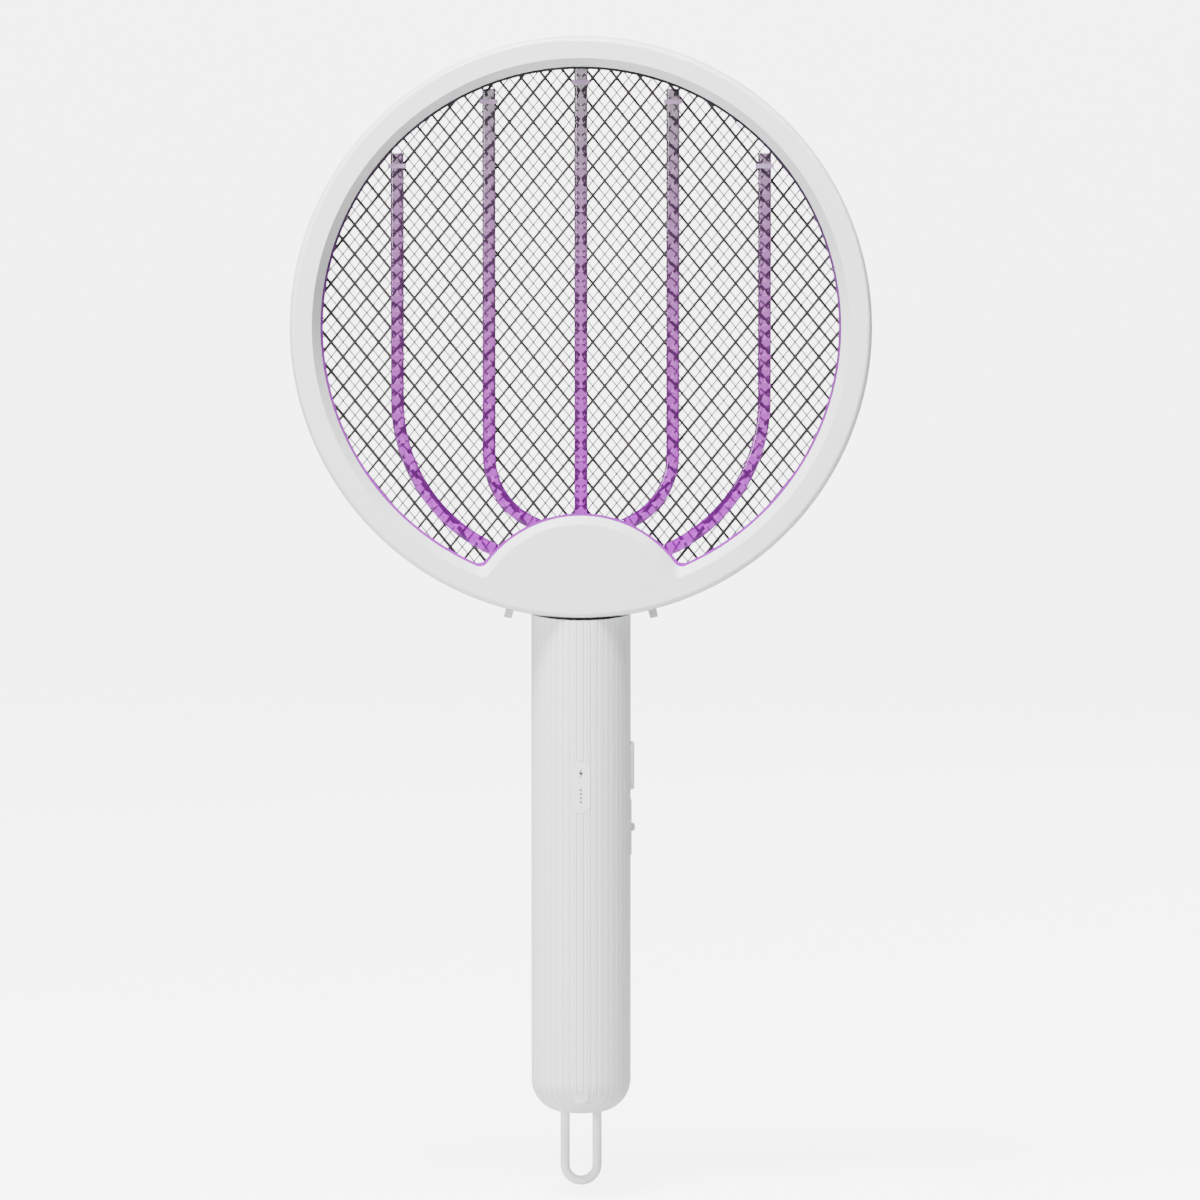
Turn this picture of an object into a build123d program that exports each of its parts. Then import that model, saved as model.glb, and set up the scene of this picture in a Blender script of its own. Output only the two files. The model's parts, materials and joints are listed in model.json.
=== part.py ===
from build123d import *
import os
from math import cos, radians, sin, sqrt

# Electric fly swatter with a folding head, in millimetres.
# +Z runs from the hanging loop up the handle to the head, the front faces -Y.
# The origin is under the centre of the object, level with the bottom of the loop.

# --- driving dimensions -------------------------------------------------------
HEAD_Z = 349.3  # height of the head's centre
FRONT_Y = -20.2  # flat front face of the head, level with the handle's front
REAR_Y = -1.5  # flat rear face of the head
RIM_R = 117.5  # outside of the rear frame, the widest part of the head
BEZEL_R = 116.7  # outside of the front bezel
OPENING_R = 105.0  # net opening
BEVEL = 3.2  # width of the sloping edge round the opening, seen from the front
HUB_DROP = 123.0  # the hub's round edge is centred this far below the head's centre
HUB_R = 47.1  # radius of the hub's round edge
CORNER_R = 3.7  # rounded corners where the hub meets the ring
WALL = 2.0  # casing thickness
SEAM = 0.2  # gap between casing parts

FOOT_Y = -13.5  # back of the bezel's sloping edge, where the light guides lie
BEZEL_BACK_Y = -11.9  # back edge of the bezel's outer wall
GUIDE_T = 2.8  # thickness of the light guides
GUIDE_W = 5.3  # width of the light guides
GUIDE_BACK_Y = FOOT_Y + GUIDE_T
FRONT_GRID_Y = -10.6  # front surfaces of the stacked layers behind the guides
FRONT_SPACER_Y = -9.2
NET_Y = -7.2
REAR_SPACER_Y = -5.9
REAR_GRID_Y = -4.4
BACK_WALL_Y = -3.0
STACK_R = 109.5  # outside of the stacked rings
HUB_STACK_R = 43.5  # where the stacked rings end, under the hub

WIRE_ANGLE = 50.9  # slope of the crossing wires
GRID_PITCH = 7.46
GRID_WIRE_W = 1.0
GRID_WIRE_T = 0.7
NET_WIRE_W = 0.5
NET_WIRE_T = 0.4
NET_LAYER_GAP = 0.02

HANDLE_R = 20.2
HANDLE_TOP_Z = 231.0
HORN_TOP_Z = 238.0  # above the front shell's two upper corners, which reach up beside the rim
RIM_GAP = 0.5
HANDLE_BOTTOM_Z = 30.2
HANDLE_END_R = 13.5  # rounding of the handle's lower end
FLUTES = 45
FLUTE_R = 0.45
SHOULDER_TOP_Z = 245.0  # top of the half-round shoulder behind the head
SHOULDER_Y = -1.0  # front of the shoulder and of the knuckle

HINGE_Y = 6.0
HINGE_Z = 258.0
KNUCKLE_R = HINGE_Y - SHOULDER_Y
KNUCKLE_HALF = 13.0
EAR_IN = 13.6
EAR_OUT = 19.6
PIN_R = 2.0
PIN_CLEARANCE = 0.05

BUTTON_Z = 171.5
BUTTON_LENGTH = 19.8
BUTTON_WIDTH = 8.0
BUTTON_TOP_X = 21.7
SLIDER_Z = 146.4
SLIDER_TRAVEL = 4.0  # to each side of the middle position
WINDOW_Z = 164.1
WINDOW_LENGTH = 21.6
WINDOW_WIDTH = 7.9

BOARD_Y = 3.0
BOARD_T = 1.6
BOARD_WIDTH = 27.0
BOARD_Z = (124.0, 218.0)
BOARD_SCREWS = ((-10.0, 127.5), (-10.0, 214.5), (10.0, 214.5))
BATTERY_R = 9.2
BATTERY_BOTTOM_Z = 48.0
BATTERY_LENGTH = 65.0
USB_Z = 131.0
HANDLE_SCREW_Z = (39.0, 119.4, 225.0)
SCREW_SEAT_Y = 6.0  # the handle screws' heads sit this far behind the middle
PLATE_WIDTH = 6.4  # slider plate, across the handle
PLATE_LENGTH = 22.6
LOOP_WIRE_R = 1.9
LOOP_LEG_X = 6.5
LOOP_ANCHOR_Z = 35.2

FOOT_X = 28.8
FOOT_TILT = 14.0  # lean of the feet away from the middle, in degrees
FOOT_SIZE = (3.4, 7.0)  # across X and along Y
FOOT_MID_Y = -6.8
FOOT_DEPTH = 3.6  # how far a foot's slot goes into the rim
FOOT_HEAD_T = 1.4  # thickness of the head that keeps a foot in its slot
FOOT_STANDS_OUT = 3.4  # brings a foot's tip level with the bottom of the rim

RIM_SCREW_R = 112.05
RIM_SCREW_COUNT = 9
RIM_SCREW_FIRST = -54.0  # degrees from +X; none sits behind the hub
RIM_SCREW_STEP = 36.0
HUB_SCREWS = ((-26.0, -103.0), (26.0, -103.0), (-9.0, -108.0), (9.0, -108.0))
LAMP_BOARD_PEGS = ((-21.5, -89.9), (21.5, -89.9))


# --- shared construction ------------------------------------------------------
def head_plane(y):
    """Plane across the head at depth y: local X is X, local Y is Z, and it faces the front."""
    return Plane(origin=(0, y, HEAD_Z), x_dir=(1, 0, 0), z_dir=(0, -1, 0))


def upright_plane(y):
    """Plane across the handle at depth y, measured from the origin and facing the front."""
    return Plane(origin=(0, y, 0), x_dir=(1, 0, 0), z_dir=(0, -1, 0))


def side_plane(x):
    """Plane at x that faces +X: local X is Y, local Y is Z."""
    return Plane(origin=(x, 0, 0), x_dir=(0, 1, 0), z_dir=(1, 0, 0))


def foot_plane(side):
    """Plane on the rim at a foot's root, facing down and outwards; side is -1 or 1."""
    return Plane(
        origin=(side * FOOT_X, FOOT_MID_Y, HEAD_Z - sqrt(RIM_R**2 - FOOT_X**2)),
        x_dir=(cos(radians(FOOT_TILT)), 0, side * sin(radians(FOOT_TILT))),
        z_dir=(side * sin(radians(FOOT_TILT)), 0, -cos(radians(FOOT_TILT))),
    )


# the rear face of the head, seen from behind
HEAD_BACK = Plane(origin=(0, REAR_Y, HEAD_Z), x_dir=(-1, 0, 0), z_dir=(0, 1, 0))


def opening(growth, corner=CORNER_R):
    """The net opening's outline about the head's centre, grown outwards by growth."""
    with BuildSketch() as outline:
        Circle(OPENING_R + growth)
        with Locations((0, -HUB_DROP)):
            Circle(HUB_R - growth, mode=Mode.SUBTRACT)
        if corner:
            fillet(outline.vertices().sort_by(Axis.Y)[:2], corner)
    return outline.sketch


def stacked_ring(y_front, y_back, growth=0.8):
    """Closed band under the bezel's edge, round the ring and along the hub."""
    with BuildPart() as ring:
        with BuildSketch(head_plane(y_back)):
            Circle(STACK_R)
            with Locations((0, -HUB_DROP)):
                Circle(HUB_STACK_R, mode=Mode.SUBTRACT)
            add(opening(growth, corner=0), mode=Mode.SUBTRACT)
        extrude(amount=y_back - y_front)
    return ring.part


def wire_layer(y_front, thickness, width, pitch, reach, slope):
    """Parallel wires of one direction, cut off round at the reach and along the hub."""
    count = int(reach / pitch)
    normal = (-sin(radians(slope)), cos(radians(slope)))
    with BuildPart() as layer:
        with BuildSketch(head_plane(y_front + thickness)):
            for step in range(-count, count + 1):
                offset = step * pitch
                length = 2 * sqrt(reach**2 - offset**2)
                with Locations(Location((normal[0] * offset, normal[1] * offset), slope)):
                    Rectangle(length, width)
        extrude(amount=thickness)
        with BuildSketch(head_plane(y_front + thickness)):
            with Locations((0, -HUB_DROP)):
                Circle((HUB_R + HUB_STACK_R) / 2)
        extrude(amount=thickness, mode=Mode.SUBTRACT)
    return layer.part


def finish(part, name):
    """Name one piece and write it to its own file."""
    part.label = name
    export_step(part, f"parts/{name}.step")


os.makedirs("parts", exist_ok=True)


# --- head casing --------------------------------------------------------------
def rim_screw_places():
    """Places round the rim, in a plane across the head; the gap is at the hub."""
    sweep_angle = RIM_SCREW_STEP * (RIM_SCREW_COUNT - 1)
    return PolarLocations(
        RIM_SCREW_R,
        RIM_SCREW_COUNT,
        start_angle=RIM_SCREW_FIRST,
        angular_range=sweep_angle,
        endpoint=True,
    )


with BuildPart() as front_bezel:
    with BuildSketch(head_plane(BEZEL_BACK_Y)):
        Circle(BEZEL_R)
    extrude(amount=BEZEL_BACK_Y - FRONT_Y)
    fillet(front_bezel.edges().sort_by(Axis.Y)[0], 1.8)
    with BuildSketch(head_plane(FOOT_Y)):
        add(opening(0))
    with BuildSketch(head_plane(FRONT_Y)):
        add(opening(BEVEL))
    loft(ruled=True, mode=Mode.SUBTRACT)
    # hollow behind the flat front, leaving the outer wall and the sloping edge
    with BuildSketch(head_plane(BEZEL_BACK_Y)):
        Circle(BEZEL_R - 1.8)
    extrude(amount=BEZEL_BACK_Y - FOOT_Y, mode=Mode.SUBTRACT)
    with BuildSketch(head_plane(FOOT_Y)):
        Circle(BEZEL_R - 1.8)
        add(opening(BEVEL + 1.0, corner=0), mode=Mode.SUBTRACT)
    extrude(amount=FOOT_Y - FRONT_Y - WALL, mode=Mode.SUBTRACT)
    # screw posts for the rear frame and the hub cover, and pegs for the lamp board
    with BuildSketch(head_plane(BACK_WALL_Y - 0.05)):
        with rim_screw_places():
            Circle(2.2)
        with Locations(*HUB_SCREWS):
            Circle(2.4)
    extrude(amount=BACK_WALL_Y - 0.05 - FRONT_Y - WALL / 2)
    with BuildSketch(head_plane(GUIDE_BACK_Y)):
        with Locations(*LAMP_BOARD_PEGS):
            Circle(1.3)
    extrude(amount=GUIDE_BACK_Y - FRONT_Y - WALL / 2)
    with BuildSketch(head_plane(BACK_WALL_Y - 0.05)):
        with rim_screw_places():
            Circle(0.95)
        with Locations(*HUB_SCREWS):
            Circle(0.95)
    extrude(amount=12, mode=Mode.SUBTRACT)
finish(front_bezel.part, "front_bezel")

with BuildPart() as rear_frame:
    with BuildSketch(head_plane(REAR_Y)):
        Circle(RIM_R)
    extrude(amount=REAR_Y - BEZEL_BACK_Y - SEAM)
    fillet(rear_frame.edges().sort_by(Axis.Y)[-1], 2.2)
    chamfer(rear_frame.edges().group_by(Axis.Y)[0], 0.5)
    with BuildSketch(head_plane(BACK_WALL_Y)):
        Circle(RIM_R - 2.4)
    extrude(amount=20, mode=Mode.SUBTRACT)
    with BuildSketch(head_plane(REAR_Y)):
        add(opening(0))
    extrude(amount=5, mode=Mode.SUBTRACT)
    # seat of the hub cover
    with BuildSketch(head_plane(REAR_Y)):
        with Locations((0, -HUB_DROP)):
            Circle(HUB_R + SEAM / 2)
        Circle(RIM_SCREW_R + SEAM / 2, mode=Mode.INTERSECT)
    extrude(amount=5, mode=Mode.SUBTRACT)
    with Locations(HEAD_BACK):
        with rim_screw_places():
            CounterSinkHole(1.3, 2.4, depth=5)
    # slots for the two feet
    for side in (-1, 1):
        with BuildSketch(foot_plane(side)):
            Rectangle(FOOT_SIZE[0] + 0.1, FOOT_SIZE[1] + 0.1)
        extrude(amount=FOOT_DEPTH, both=True, mode=Mode.SUBTRACT)
finish(rear_frame.part, "rear_frame")


def ear(x_near):
    """One hinge ear: a round eye on a web that widens to the hub cover."""
    with BuildPart() as piece:
        with BuildSketch(side_plane(x_near)):
            with BuildLine():
                top = (REAR_Y - 1.0, HINGE_Z + 9.0)
                bottom = (REAR_Y - 1.0, HINGE_Z - 9.0)
                eye_top = (HINGE_Y, HINGE_Z + KNUCKLE_R)
                eye_bottom = (HINGE_Y, HINGE_Z - KNUCKLE_R)
                Polyline(eye_bottom, bottom, top, eye_top)
                ThreePointArc(eye_top, (HINGE_Y + KNUCKLE_R, HINGE_Z), eye_bottom)
            make_face()
        extrude(amount=EAR_OUT - EAR_IN)
        with BuildSketch(side_plane(x_near)):
            with Locations((HINGE_Y, HINGE_Z)):
                Circle(PIN_R)
        extrude(amount=EAR_OUT - EAR_IN, mode=Mode.SUBTRACT)
    return piece.part


with BuildPart() as rear_hub_cover:
    with BuildSketch(head_plane(REAR_Y)):
        with Locations((0, -HUB_DROP)):
            Circle(HUB_R)
        Circle(RIM_SCREW_R, mode=Mode.INTERSECT)
    extrude(amount=REAR_Y - BACK_WALL_Y)
    chamfer(rear_hub_cover.edges().group_by(Axis.Y)[-1], 0.4)
    # stiffening block inside, under the ears
    with BuildSketch(head_plane(BACK_WALL_Y)):
        with Locations((0, -95.0)):
            RectangleRounded(42.0, 16.0, 2.0)
    extrude(amount=3.0)
    add(ear(EAR_IN))
    add(ear(-EAR_OUT))
    with Locations(HEAD_BACK):
        with Locations(*HUB_SCREWS):
            CounterSinkHole(1.3, 2.4, depth=5)
finish(rear_hub_cover.part, "rear_hub_cover")


def countersunk_screw(length):
    """Self-tapping screw on Y, its flat head level with y = 0 and its point to the front."""
    with BuildPart() as screw:
        with BuildSketch(Plane.XY):
            with BuildLine():
                Polyline(
                    (0, 0), (2.3, 0), (0.95, -1.3), (0.95, 0.6 - length), (0, -length), (0, 0)
                )
            make_face()
        revolve(axis=Axis.Y)
        with BuildSketch(Plane(origin=(0, 0, 0), z_dir=(0, 1, 0))):
            Rectangle(2.4, 0.5)
            Rectangle(0.5, 2.4)
        extrude(amount=-0.6, mode=Mode.SUBTRACT)
    return screw.part


case_screw = countersunk_screw(10.0)
with BuildPart() as rim_screws:
    for step in range(RIM_SCREW_COUNT):
        angle = RIM_SCREW_FIRST + step * RIM_SCREW_STEP
        x = RIM_SCREW_R * cos(radians(angle))
        z = HEAD_Z + RIM_SCREW_R * sin(radians(angle))
        add(Pos(x, REAR_Y, z) * case_screw)
finish(rim_screws.part, "rim_screws")

with BuildPart() as hub_screws:
    for x, drop in HUB_SCREWS:
        add(Pos(x, REAR_Y, HEAD_Z + drop) * case_screw)
finish(hub_screws.part, "hub_screws")

for side, name in ((-1, "standing_foot_left"), (1, "standing_foot_right")):
    with BuildPart() as foot:
        with BuildSketch(foot_plane(side)):
            Rectangle(*FOOT_SIZE)
        extrude(amount=FOOT_STANDS_OUT)
        fillet(foot.edges().group_by(Axis.Z)[0], 0.8)
        # the head that keeps the foot in its slot
        with BuildSketch(foot_plane(side).offset(-FOOT_DEPTH)):
            Rectangle(FOOT_SIZE[0] + 2.4, FOOT_SIZE[1] - 0.6)
        extrude(amount=-FOOT_HEAD_T)
        with BuildSketch(foot_plane(side).offset(-FOOT_DEPTH)):
            Rectangle(*FOOT_SIZE)
        extrude(amount=FOOT_DEPTH)
    finish(foot.part, name)


# --- nets ---------------------------------------------------------------------
def guard_grid(y_front):
    """Welded grid: two crossing layers of wires on one rim."""
    reach = (OPENING_R + STACK_R) / 2
    with BuildPart() as grid:
        add(wire_layer(y_front, GRID_WIRE_T, GRID_WIRE_W, GRID_PITCH, reach, WIRE_ANGLE))
        add(
            wire_layer(
                y_front + GRID_WIRE_T, GRID_WIRE_T, GRID_WIRE_W, GRID_PITCH, reach, -WIRE_ANGLE
            )
        )
        add(stacked_ring(y_front, y_front + 2 * GRID_WIRE_T))
    return grid.part


finish(guard_grid(FRONT_GRID_Y), "front_guard_grid")
finish(guard_grid(REAR_GRID_Y), "rear_guard_grid")

with BuildPart() as high_voltage_net:
    ring_back = NET_Y + 0.4
    add(stacked_ring(NET_Y, ring_back))
    net_reach = (OPENING_R + STACK_R) / 2
    first = ring_back + NET_LAYER_GAP
    second = first + NET_WIRE_T + NET_LAYER_GAP
    add(wire_layer(first, NET_WIRE_T, NET_WIRE_W, GRID_PITCH / 2, net_reach, WIRE_ANGLE))
    add(wire_layer(second, NET_WIRE_T, NET_WIRE_W, GRID_PITCH / 2, net_reach, -WIRE_ANGLE))
finish(high_voltage_net.part, "high_voltage_net")

finish(stacked_ring(FRONT_SPACER_Y, NET_Y), "front_spacer_ring")
finish(stacked_ring(REAR_SPACER_Y, REAR_GRID_Y), "rear_spacer_ring")

# --- lamp and light guides ----------------------------------------------------
RING_GROWTH = 2.2  # how far the light ring reaches under the bezel
RING_SHOWN = 1.0  # how far it shows inside the opening

with BuildPart() as light_ring:
    with BuildSketch(head_plane(GUIDE_BACK_Y)):
        add(opening(RING_GROWTH, corner=1.5))
        add(opening(-RING_SHOWN, corner=CORNER_R + RING_SHOWN), mode=Mode.SUBTRACT)
    extrude(amount=GUIDE_T)
finish(light_ring.part, "light_ring")

GUIDE_TOP_R = OPENING_R - RING_SHOWN - 0.05
GUIDE_END_R = HUB_R + RING_SHOWN + 0.05
# name, distance from the middle, height of the bend's start, radius and angle of the bend,
# length of the straight tail after it
SIDE_GUIDES = (
    ("outer_left", -74.0, -29.4, 66.0, 64.4, 5.0),
    ("inner_left", -37.05, -51.4, 30.0, 64.6, 4.6),
    ("inner_right", 37.05, -51.4, 30.0, 64.6, 4.6),
    ("outer_right", 74.0, -29.4, 66.0, 64.4, 5.0),
)


def guide_top(x):
    """Height above the head's centre at which a guide of this X meets the light ring."""
    return sqrt(GUIDE_TOP_R**2 - (abs(x) + GUIDE_W / 2) ** 2)


with BuildPart() as light_guide_centre:
    with BuildSketch(head_plane(GUIDE_BACK_Y)):
        low = HUB_R - HUB_DROP
        with Locations((0, (guide_top(0) + low) / 2)):
            Rectangle(GUIDE_W, guide_top(0) - low)
        with Locations((0, -HUB_DROP)):
            Circle(GUIDE_END_R, mode=Mode.SUBTRACT)
    extrude(amount=GUIDE_T)
finish(light_guide_centre.part, "light_guide_centre")

for name, x, bend_start, bend_r, turn, tail in SIDE_GUIDES:
    inward = -1 if x > 0 else 1
    with BuildPart() as guide:
        with BuildSketch(head_plane(GUIDE_BACK_Y)):
            with BuildLine() as route:
                straight = Line((x, guide_top(x)), (x, bend_start))
                bend = JernArc(
                    start=straight @ 1, tangent=(0, -1), radius=bend_r, arc_size=inward * turn
                )
                Line(bend @ 1, (bend @ 1) + (bend % 1) * tail)
            trace(line_width=GUIDE_W)
            # the end follows the ring's curve round the hub
            with Locations((0, -HUB_DROP)):
                Circle(GUIDE_END_R, mode=Mode.SUBTRACT)
        extrude(amount=GUIDE_T)
    finish(guide.part, f"light_guide_{name}")

CLIP_DROP = 5.2
with BuildPart() as light_guide_clips:
    for x in (0.0, *(guide[1] for guide in SIDE_GUIDES)):
        height = guide_top(x) - CLIP_DROP
        with BuildSketch(head_plane(GUIDE_BACK_Y)):
            with Locations((x, height)):
                Rectangle(GUIDE_W + 2.0, 1.8)
        extrude(amount=GUIDE_T + 0.7)
        with BuildSketch(head_plane(GUIDE_BACK_Y)):
            with Locations((x, height)):
                Rectangle(GUIDE_W + 0.1, 2.0)
        extrude(amount=GUIDE_T + 0.05, mode=Mode.SUBTRACT)
finish(light_guide_clips.part, "light_guide_clips")

LAMP_ANGLES = (-45.4, -20.5, 0.0, 20.5, 45.4)
LAMP_BOARD_FRONT_Y = GUIDE_BACK_Y
LAMP_BOARD_BACK_Y = LAMP_BOARD_FRONT_Y + 1.2
with BuildPart() as lamp_board:
    with BuildSketch(head_plane(LAMP_BOARD_BACK_Y)):
        with Locations((0, -HUB_DROP)):
            Circle(HUB_STACK_R - 0.3)
            Circle(36.0, mode=Mode.SUBTRACT)
            with Locations((0, 36.0)):
                Rectangle(66.0, 26.0, mode=Mode.INTERSECT)
    extrude(amount=LAMP_BOARD_BACK_Y - LAMP_BOARD_FRONT_Y)
finish(lamp_board.part, "lamp_board")

with BuildPart() as uv_lamps:
    for angle in LAMP_ANGLES:
        lamp_plane = Plane(
            origin=(
                (HUB_STACK_R - 1.6) * sin(radians(angle)),
                LAMP_BOARD_FRONT_Y,
                HEAD_Z - HUB_DROP + (HUB_STACK_R - 1.6) * cos(radians(angle)),
            ),
            x_dir=(cos(radians(angle)), 0, -sin(radians(angle))),
            z_dir=(0, -1, 0),
        )
        with BuildSketch(lamp_plane):
            Rectangle(4.4, 2.6)
        extrude(amount=2.2)
finish(uv_lamps.part, "uv_lamps")

# --- hinge --------------------------------------------------------------------
HINGE_PLANE = Plane(origin=(0, HINGE_Y, HINGE_Z), x_dir=(0, 1, 0), z_dir=(1, 0, 0))
with BuildPart() as hinge_pin:
    with BuildSketch(HINGE_PLANE.offset(-EAR_OUT)):
        Circle(PIN_R)
    extrude(amount=2 * EAR_OUT + 1.4)
    with BuildSketch(HINGE_PLANE.offset(-EAR_OUT)):
        Circle(3.4)
    extrude(amount=-1.4)
    fillet(hinge_pin.edges().sort_by(Axis.X)[0], 0.6)
    # groove for the clip
    with BuildSketch(HINGE_PLANE.offset(EAR_OUT + 0.1)):
        Circle(PIN_R)
        Circle(PIN_R - 0.5, mode=Mode.SUBTRACT)
    extrude(amount=0.6, mode=Mode.SUBTRACT)
finish(hinge_pin.part, "hinge_pin")

with BuildPart() as hinge_clip:
    with BuildSketch(HINGE_PLANE.offset(EAR_OUT + 0.15)):
        Circle(3.9)
        Circle(PIN_R - 0.45, mode=Mode.SUBTRACT)
        with Locations((0, 2.5)):
            Rectangle(2.4, 5.0, mode=Mode.SUBTRACT)
    extrude(amount=0.5)
finish(hinge_clip.part, "hinge_clip")

with BuildPart() as hinge_washers:
    for low in (-EAR_IN + 0.05, KNUCKLE_HALF + 0.05):
        with BuildSketch(HINGE_PLANE.offset(low)):
            Circle(5.6)
            Circle(PIN_R + PIN_CLEARANCE, mode=Mode.SUBTRACT)
        extrude(amount=0.5)
finish(hinge_washers.part, "hinge_washers")


# --- handle casing ------------------------------------------------------------
def handle_body(radius, bottom, top, end_radius):
    """Round bar with a rounded lower end."""
    with BuildPart() as body:
        with BuildSketch(Plane.XZ):
            with BuildLine():
                flat = radius - end_radius
                Line((0, bottom), (flat, bottom))
                RadiusArc((flat, bottom), (radius, bottom + end_radius), -end_radius)
                Polyline((radius, bottom + end_radius), (radius, top), (0, top), (0, bottom))
            make_face()
        revolve(axis=Axis.Z)
    return body.part


def half_space(front):
    """Block that covers the front half of the handle, or the rear half."""
    reach = 40.0
    with BuildPart() as block:
        with Locations((0, (-reach if front else reach) / 2, 130)):
            Box(3 * reach, reach, 400)
    return block.part


def flute_places():
    return PolarLocations(HANDLE_R, FLUTES, start_angle=90)


def loop_leg_slots():
    """Round holes for the legs of the hanging loop, on the parting plane."""
    with BuildPart() as slots:
        with BuildSketch(Plane.XY.offset(HANDLE_BOTTOM_Z - 1)):
            with Locations((-LOOP_LEG_X, 0), (LOOP_LEG_X, 0)):
                Circle(LOOP_WIRE_R + 0.02)
        extrude(amount=8)
    return slots.part


outer_bar = handle_body(HANDLE_R, HANDLE_BOTTOM_Z, HANDLE_TOP_Z, HANDLE_END_R)
hollow_core = handle_body(
    HANDLE_R - WALL, HANDLE_BOTTOM_Z + WALL, HANDLE_TOP_Z - WALL, HANDLE_END_R - WALL
)


def side_cutouts():
    """Windows through the right-hand wall for the button and the slider's plate."""
    with BuildPart() as windows:
        with BuildSketch(side_plane(15.0)):
            with Locations((0, BUTTON_Z)):
                SlotOverall(BUTTON_LENGTH + 0.4, BUTTON_WIDTH + 0.4, rotation=90)
            with Locations((0, SLIDER_Z)):
                RectangleRounded(PLATE_WIDTH + 0.1, PLATE_LENGTH + 0.1, 1.5)
        extrude(amount=10)
    return windows.part



def below_rim(radius, gap):
    """Round bar whose top is hollowed to follow the head's rim at the given gap."""
    with BuildPart() as bar:
        inset = HANDLE_R - radius
        add(handle_body(radius, HANDLE_BOTTOM_Z + inset, HORN_TOP_Z, HANDLE_END_R - inset))
        with BuildSketch(head_plane(2 * HANDLE_R)):
            Circle(RIM_R + gap)
        extrude(amount=4 * HANDLE_R, mode=Mode.SUBTRACT)
    return bar.part


with BuildPart() as handle_front_shell:
    add(below_rim(HANDLE_R, RIM_GAP))
    add(below_rim(HANDLE_R - WALL, RIM_GAP + WALL), mode=Mode.SUBTRACT)
    # clear of the rear shell's shoulder
    with BuildSketch(Plane.XY.offset(HANDLE_TOP_Z)):
        with Locations((0, SHOULDER_Y - SEAM + HANDLE_R)):
            Rectangle(3 * HANDLE_R, 2 * HANDLE_R)
    extrude(amount=HORN_TOP_Z - HANDLE_TOP_Z, mode=Mode.SUBTRACT)
    # screw posts and the board's rests reach back to the parting plane
    for height in HANDLE_SCREW_Z:
        with BuildSketch(upright_plane(-SEAM / 2)):
            with Locations((0, height)):
                Circle(3.0)
        extrude(amount=HANDLE_R - WALL / 2)
    add(half_space(front=True), mode=Mode.INTERSECT)
    for height in HANDLE_SCREW_Z:
        with BuildSketch(upright_plane(0)):
            with Locations((0, height)):
                Circle(1.15)
        extrude(amount=10, mode=Mode.SUBTRACT)
    add(side_cutouts(), mode=Mode.SUBTRACT)
    add(loop_leg_slots(), mode=Mode.SUBTRACT)
    with BuildSketch(upright_plane(-15)):
        with Locations((0, WINDOW_Z)):
            SlotOverall(WINDOW_LENGTH, WINDOW_WIDTH, rotation=90)
    extrude(amount=10, mode=Mode.SUBTRACT)
    with BuildSketch(Plane.XY.offset(HANDLE_BOTTOM_Z + HANDLE_END_R)):
        with flute_places():
            Circle(FLUTE_R)
    extrude(amount=HANDLE_TOP_Z, mode=Mode.SUBTRACT)
finish(handle_front_shell.part, "handle_front_shell")

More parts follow.
